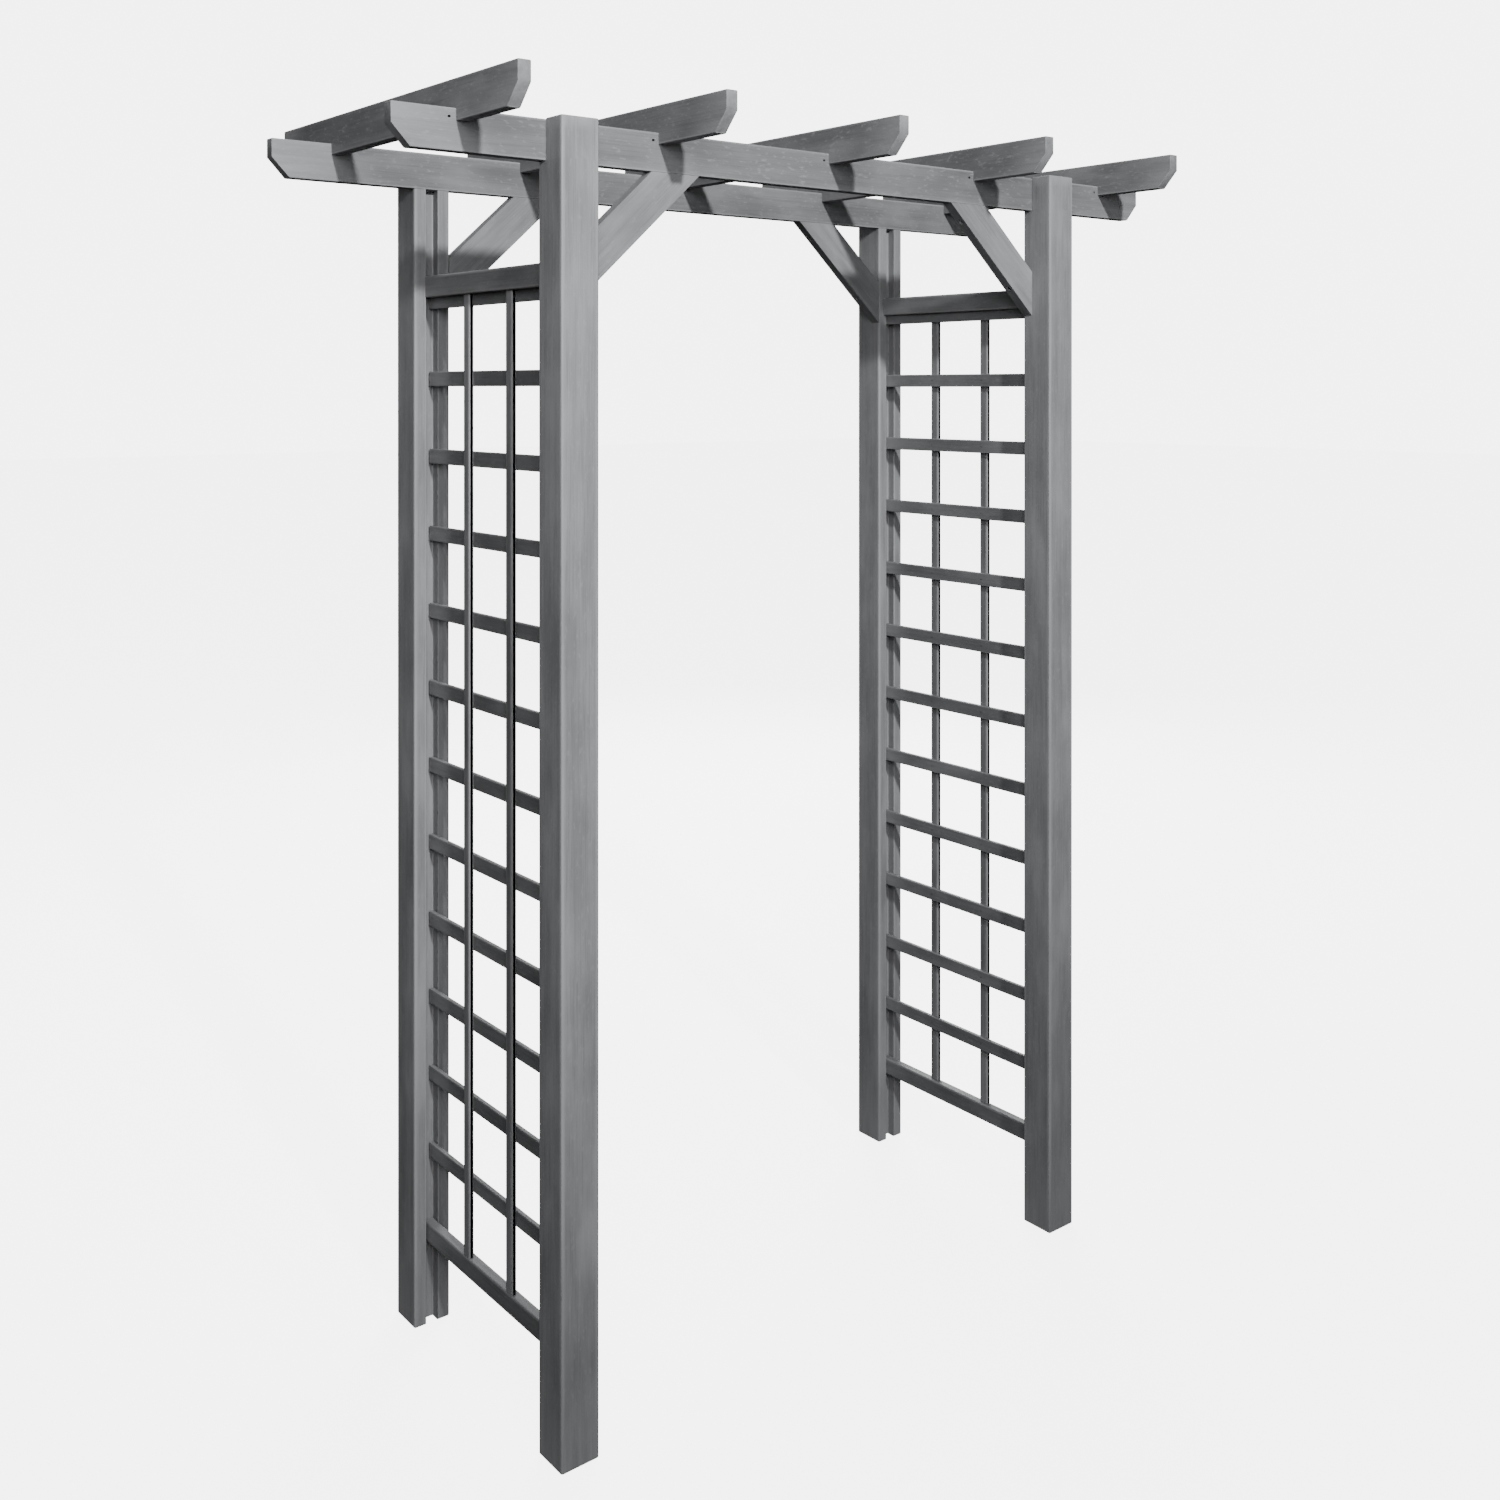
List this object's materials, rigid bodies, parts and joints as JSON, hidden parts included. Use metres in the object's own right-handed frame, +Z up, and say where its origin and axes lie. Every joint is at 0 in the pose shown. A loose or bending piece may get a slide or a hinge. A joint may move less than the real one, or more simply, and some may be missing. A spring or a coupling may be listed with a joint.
{
  "type": "garden arch",
  "caption": "Freestanding timber garden arch with square posts, notched beams, cross rafters, corner braces and two trellis sides for climbing plants.",
  "frame": {"origin": "centre of the footprint at ground level", "axes": "+X across the walkway, +Y from front to back along the walkway, +Z up"},
  "size_m": [1.8, 0.88, 2.246],
  "materials": {
    "stained_post": "matt grey wood stain",
    "stained_beam": "matt grey wood stain",
    "stained_rafter": "matt grey wood stain",
    "stained_brace": "matt grey wood stain",
    "stained_rail": "matt grey wood stain",
    "stained_batten": "matt grey wood stain",
    "stained_slat": "matt grey wood stain",
    "zinc_screw": "dull zinc",
    "steel_nail": "dull galvanised"
  },
  "bodies": {
    "root": {"post_front_left": "stained_post", "post_front_right": "stained_post", "post_rear_left": "stained_post", "post_rear_right": "stained_post", "beam_front": "stained_beam", "beam_rear": "stained_beam", "rafter_1": "stained_rafter", "rafter_2": "stained_rafter", "rafter_3": "stained_rafter", "rafter_4": "stained_rafter", "rafter_5": "stained_rafter", "brace_front_left": "stained_brace", "brace_front_right": "stained_brace", "brace_rear_left": "stained_brace", "brace_rear_right": "stained_brace", "left_top_rail": "stained_rail", "left_bottom_rail": "stained_rail", "left_batten_front": "stained_batten", "left_batten_rear": "stained_batten", "left_slat_01": "stained_slat", "left_slat_02": "stained_slat", "left_slat_03": "stained_slat", "left_slat_04": "stained_slat", "left_slat_05": "stained_slat", "left_slat_06": "stained_slat", "left_slat_07": "stained_slat", "left_slat_08": "stained_slat", "left_slat_09": "stained_slat", "left_slat_10": "stained_slat", "left_slat_11": "stained_slat", "left_slat_top": "stained_slat", "right_top_rail": "stained_rail", "right_bottom_rail": "stained_rail", "right_batten_front": "stained_batten", "right_batten_rear": "stained_batten", "right_slat_01": "stained_slat", "right_slat_02": "stained_slat", "right_slat_03": "stained_slat", "right_slat_04": "stained_slat", "right_slat_05": "stained_slat", "right_slat_06": "stained_slat", "right_slat_07": "stained_slat", "right_slat_08": "stained_slat", "right_slat_09": "stained_slat", "right_slat_10": "stained_slat", "right_slat_11": "stained_slat", "right_slat_top": "stained_slat", "beam_screws": "zinc_screw", "brace_screws": "zinc_screw", "rafter_nails_front": "steel_nail", "rafter_nails_rear": "steel_nail", "rail_nails": "steel_nail", "left_pins": "steel_nail", "right_pins": "steel_nail"}
  },
  "joints": []
}
